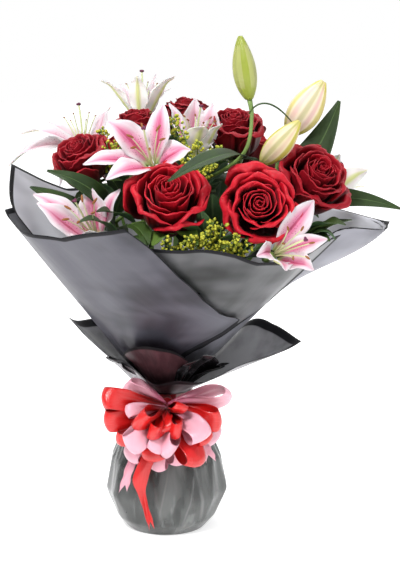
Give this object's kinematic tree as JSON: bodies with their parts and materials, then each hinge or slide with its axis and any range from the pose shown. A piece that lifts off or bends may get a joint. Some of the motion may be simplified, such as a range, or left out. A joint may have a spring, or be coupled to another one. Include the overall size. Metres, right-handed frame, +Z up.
{
  "type": "mixed flower bouquet",
  "caption": "Hand-tied bouquet of red roses, pink lilies, goldenrod and leaves in grey film, tied with a bow, standing on a water-filled film bubble.",
  "frame": {"origin": "middle of the flat underside of the water bubble", "axes": "+Z up through the tie, -Y towards the front, which has the bow"},
  "size_m": [0.4329, 0.3456, 0.5494],
  "materials": {
    "rose_petal": "velvety dark red petals",
    "lily_petal": "satin pink and white petals",
    "lily_stamen": "powdery brown anthers on pale green stalks",
    "green_bud": "smooth green bud",
    "pale_bud": "smooth pale bud with green ribs",
    "stem": "smooth green stem",
    "leaf": "dark green leaf with a soft sheen",
    "goldenrod": "small yellow-green florets",
    "film": "grey translucent film with dark borders",
    "dark_film": "plum-black film",
    "water": "clear water",
    "twine": "plain twine",
    "red_ribbon": "red satin",
    "pink_ribbon": "pink satin"
  },
  "bodies": {
    "root": {"bag_water": "water", "bow_pink_back": "pink_ribbon", "bow_pink_front": "pink_ribbon", "bow_red_front": "red_ribbon", "bow_red_middle": "red_ribbon", "bud_green": "green_bud", "bud_pale_large": "pale_bud", "bud_pale_small": "pale_bud", "film_bag": "film", "film_flap": "dark_film", "foliage_back": "leaf", "foliage_front_left": "leaf", "foliage_front_right": "leaf", "goldenrod_back": "goldenrod", "goldenrod_front": "goldenrod", "goldenrod_left": "goldenrod", "goldenrod_middle": "goldenrod", "lily_left": "lily_petal", "lily_left_stamens": "lily_stamen", "lily_lower_left": "lily_petal", "lily_lower_left_stamens": "lily_stamen", "lily_lower_right": "lily_petal", "lily_lower_right_stamens": "lily_stamen", "lily_middle": "lily_petal", "lily_middle_stamens": "lily_stamen", "lily_right": "lily_petal", "lily_right_stamens": "lily_stamen", "lily_stem_left": "leaf", "lily_stem_right": "leaf", "lily_stem_top": "leaf", "lily_top": "lily_petal", "lily_top_right": "lily_petal", "lily_top_right_stamens": "lily_stamen", "lily_top_stamens": "lily_stamen", "ribbon_band": "red_ribbon", "rose_back_left": "rose_petal", "rose_back_middle": "rose_petal", "rose_back_outer": "rose_petal", "rose_back_right": "rose_petal", "rose_front_middle": "rose_petal", "rose_front_right": "rose_petal", "rose_left": "rose_petal", "rose_right": "rose_petal", "rose_stem_back_left": "stem", "rose_stem_back_middle": "stem", "rose_stem_back_outer": "stem", "rose_stem_back_right": "stem", "rose_stem_front_middle": "stem", "rose_stem_front_right": "stem", "rose_stem_left": "stem", "rose_stem_right": "stem", "rose_stem_upper_right": "stem", "rose_upper_right": "rose_petal", "tie_twine": "twine", "wrap_back": "film", "wrap_front_left": "film", "wrap_front_right": "film"}
  },
  "joints": []
}
